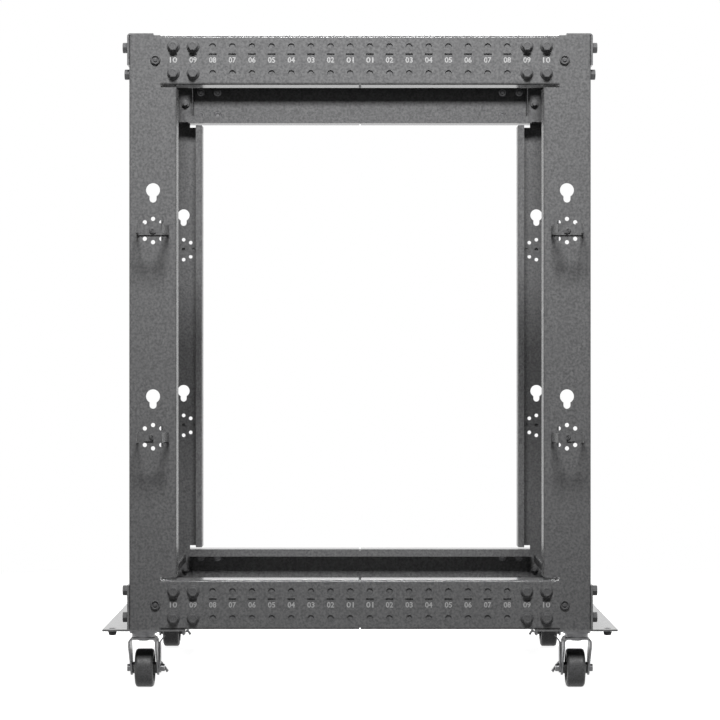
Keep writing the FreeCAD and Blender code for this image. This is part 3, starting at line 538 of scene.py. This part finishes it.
for side, y in SIDES.items():
    dress_side(side, y)
for end, x in ENDS.items():
    dress_end(end, x)
for master in (beam_bolt, face_bolt, corner_screw, hook_screw, inner_nut, corner_nut, plate_bolt,
               tongue):
    bpy.data.objects.remove(master)

# ---------------------------------------------------------------------------------------------
# Printed numbers of the adjustment columns
# ---------------------------------------------------------------------------------------------

NUMBER_WIDTH = 0.0094
NUMBER_HEIGHT = 0.0072
INK = 0.00006                # what the print stands out on each side of the beam's face
BOLDER = 0.02                # share of the height that widens each stroke
CURVE_STEPS = 3


def number(text, place, facing):
    """Two flat digits on a side beam, seen upright from outside."""
    bpy.ops.object.select_all(action="DESELECT")
    bpy.ops.object.text_add()
    lettering = bpy.context.active_object.data
    lettering.body = text
    lettering.size = NUMBER_HEIGHT
    lettering.extrude = INK
    lettering.offset = NUMBER_HEIGHT * BOLDER
    lettering.resolution_u = CURVE_STEPS
    lettering.align_x = "CENTER"
    lettering.align_y = "CENTER"
    bpy.ops.object.convert(target="MESH")
    digits = bpy.context.active_object
    left, bottom = (min(v.co[axis] for v in digits.data.vertices) for axis in (0, 1))
    right, top = (max(v.co[axis] for v in digits.data.vertices) for axis in (0, 1))
    centre = Matrix.Translation((-(left + right) / 2, -(bottom + top) / 2, 0))
    fit = Matrix.Diagonal((NUMBER_WIDTH / (right - left), NUMBER_HEIGHT / (top - bottom), 1, 1))
    upright = Matrix.Rotation(math.pi / 2, 4, "X")
    about = Matrix.Rotation(0 if facing < 0 else math.pi, 4, "Z")
    digits.data.transform(Matrix.Translation(place) @ about @ upright @ fit @ centre)
    return digits


for side, y in SIDES.items():
    for storey, middle in beam_middles.items():
        for end, x in ENDS.items():
            as_one([number(f"{n:02d}", (x * (n - 0.5) * COLUMN_PITCH, y * side_plane, middle), y)
                    for n in range(1, columns + 1)], f"{end}_{side}_{storey}_numbers", PRINT)

# ---------------------------------------------------------------------------------------------
# Floor and background
# ---------------------------------------------------------------------------------------------

AMBIENT = 0.008              # light of the background on the object
FLOOR_SIZE = 30
FLOOR_LEVEL = -0.0002
FLOOR_GREY = 0.25            # of the floor as the object sees it
SEEN_GREY = 0.5              # of the floor near the object, which takes its shadow
SEEN_GLOW = 0.88             # what brings that floor up to white
SHADED_REACH = (0.7, 1.6)    # where the shaded floor begins to fade, and where it ends


def seen_directly(tree):
    """1 for camera, glossy and transmission rays, and 0 for diffuse light on the object."""
    path = tree.nodes.new("ShaderNodeLightPath")
    value = path.outputs["Is Camera Ray"]
    for name in ("Is Glossy Ray", "Is Transmission Ray"):
        either = tree.nodes.new("ShaderNodeMath")
        either.operation = "MAXIMUM"
        tree.links.new(value, either.inputs[0])
        tree.links.new(path.outputs[name], either.inputs[1])
        value = either.outputs[0]
    return value


def pale_floor():
    """A floor seen as white, which keeps the object's shadow and fades to plain white further out."""
    material = bpy.data.materials.new("pale_floor")
    material.use_nodes = True
    tree = material.node_tree
    tree.nodes.clear()

    def diffuse(grey):
        shader = tree.nodes.new("ShaderNodeBsdfDiffuse")
        shader.inputs["Color"].default_value = (grey, grey, grey, 1)
        return shader.outputs[0]

    def glow(strength):
        shader = tree.nodes.new("ShaderNodeEmission")
        shader.inputs["Strength"].default_value = strength
        return shader.outputs[0]

    def blend(share, first, second):
        shader = tree.nodes.new("ShaderNodeMixShader")
        tree.links.new(share, shader.inputs["Fac"])
        tree.links.new(first, shader.inputs[1])
        tree.links.new(second, shader.inputs[2])
        return shader.outputs[0]

    shaded = tree.nodes.new("ShaderNodeAddShader")
    tree.links.new(glow(SEEN_GLOW), shaded.inputs[0])
    tree.links.new(diffuse(SEEN_GREY), shaded.inputs[1])
    distance = tree.nodes.new("ShaderNodeVectorMath")
    distance.operation = "LENGTH"
    tree.links.new(tree.nodes.new("ShaderNodeTexCoord").outputs["Object"], distance.inputs[0])
    fade = tree.nodes.new("ShaderNodeMapRange")
    fade.inputs["From Min"].default_value, fade.inputs["From Max"].default_value = SHADED_REACH
    tree.links.new(distance.outputs["Value"], fade.inputs["Value"])
    seen = blend(fade.outputs["Result"], shaded.outputs[0], glow(1.0))
    output = tree.nodes.new("ShaderNodeOutputMaterial")
    tree.links.new(blend(seen_directly(tree), diffuse(FLOOR_GREY), seen), output.inputs["Surface"])
    return material


bpy.ops.object.select_all(action="DESELECT")
bpy.ops.mesh.primitive_plane_add(size=FLOOR_SIZE, location=(0, 0, FLOOR_LEVEL))
floor = named("floor")
floor.data.materials.append(pale_floor())

world = bpy.data.worlds.new("studio")
bpy.context.scene.world = world
world.use_nodes = True
background = world.node_tree.nodes["Background"]
tone = world.node_tree.nodes.new("ShaderNodeMix")
tone.data_type = "FLOAT"
tone.inputs["A"].default_value = AMBIENT
tone.inputs["B"].default_value = 1.0
world.node_tree.links.new(seen_directly(world.node_tree), tone.inputs["Factor"])
world.node_tree.links.new(tone.outputs["Result"], background.inputs["Strength"])
background.inputs["Color"].default_value = (1, 1, 1, 1)

# ---------------------------------------------------------------------------------------------
# Lamps and camera
# ---------------------------------------------------------------------------------------------

LAMP_DISTANCE = 2.3          # from the middle of the rack to the key lamp and to the back lamp
KEY_HEIGHT = 2.5
KEY_AIM = 0.15               # above the top of the near posts
BACK_HEIGHT = 2.42
SIDE_DISTANCE = 2.2          # from the middle of the rack to the lamps beyond its two ends
SIDE_HEIGHT = 1.7
SIDE_SHIFT = 0.15            # of these lamps towards the left side
SIDE_AIM = 0.1               # of their light towards that side
LENS = 117.5
SENSOR = 36
CAMERA_DISTANCE = 3.304
EYE_LEVEL = 0.4286


def lamp(name, place, target, power, width, height, spread=180):
    """A soft box at a place, turned to a target, whose grid narrows its light to some degrees."""
    light = bpy.data.lights.new(name, "AREA")
    light.shape = "RECTANGLE"
    light.size = width
    light.size_y = height
    light.energy = power
    light.spread = math.radians(spread)
    holder = bpy.data.objects.new(name, light)
    bpy.context.scene.collection.objects.link(holder)
    holder.location = place
    holder.rotation_euler = (Vector(target) - Vector(place)).to_track_quat("-Z", "Y").to_euler()


lamp("key", place=(0, -LAMP_DISTANCE, KEY_HEIGHT), target=(0, -side_plane, post_high.z + KEY_AIM),
     power=12.4, width=0.9, height=0.7, spread=50)
lamp("back", place=(0, LAMP_DISTANCE, BACK_HEIGHT), target=(0, side_plane, post_high.z),
     power=30, width=2.2, height=0.6, spread=85)
for end, x in ENDS.items():
    lamp(f"{end}_side", place=(x * SIDE_DISTANCE, SIDE_SHIFT, SIDE_HEIGHT),
         target=(x * face, SIDE_AIM, post_high.z / 2), power=15, width=1.0, height=0.8)

camera_data = bpy.data.cameras.new("camera")
camera_data.lens = LENS
camera_data.sensor_width = SENSOR
camera = bpy.data.objects.new("camera", camera_data)
bpy.context.scene.collection.objects.link(camera)
camera.location = (0, -CAMERA_DISTANCE, EYE_LEVEL)
camera.rotation_euler = (math.pi / 2, 0, 0)
bpy.context.scene.camera = camera
bpy.context.scene.view_settings.view_transform = "Standard"
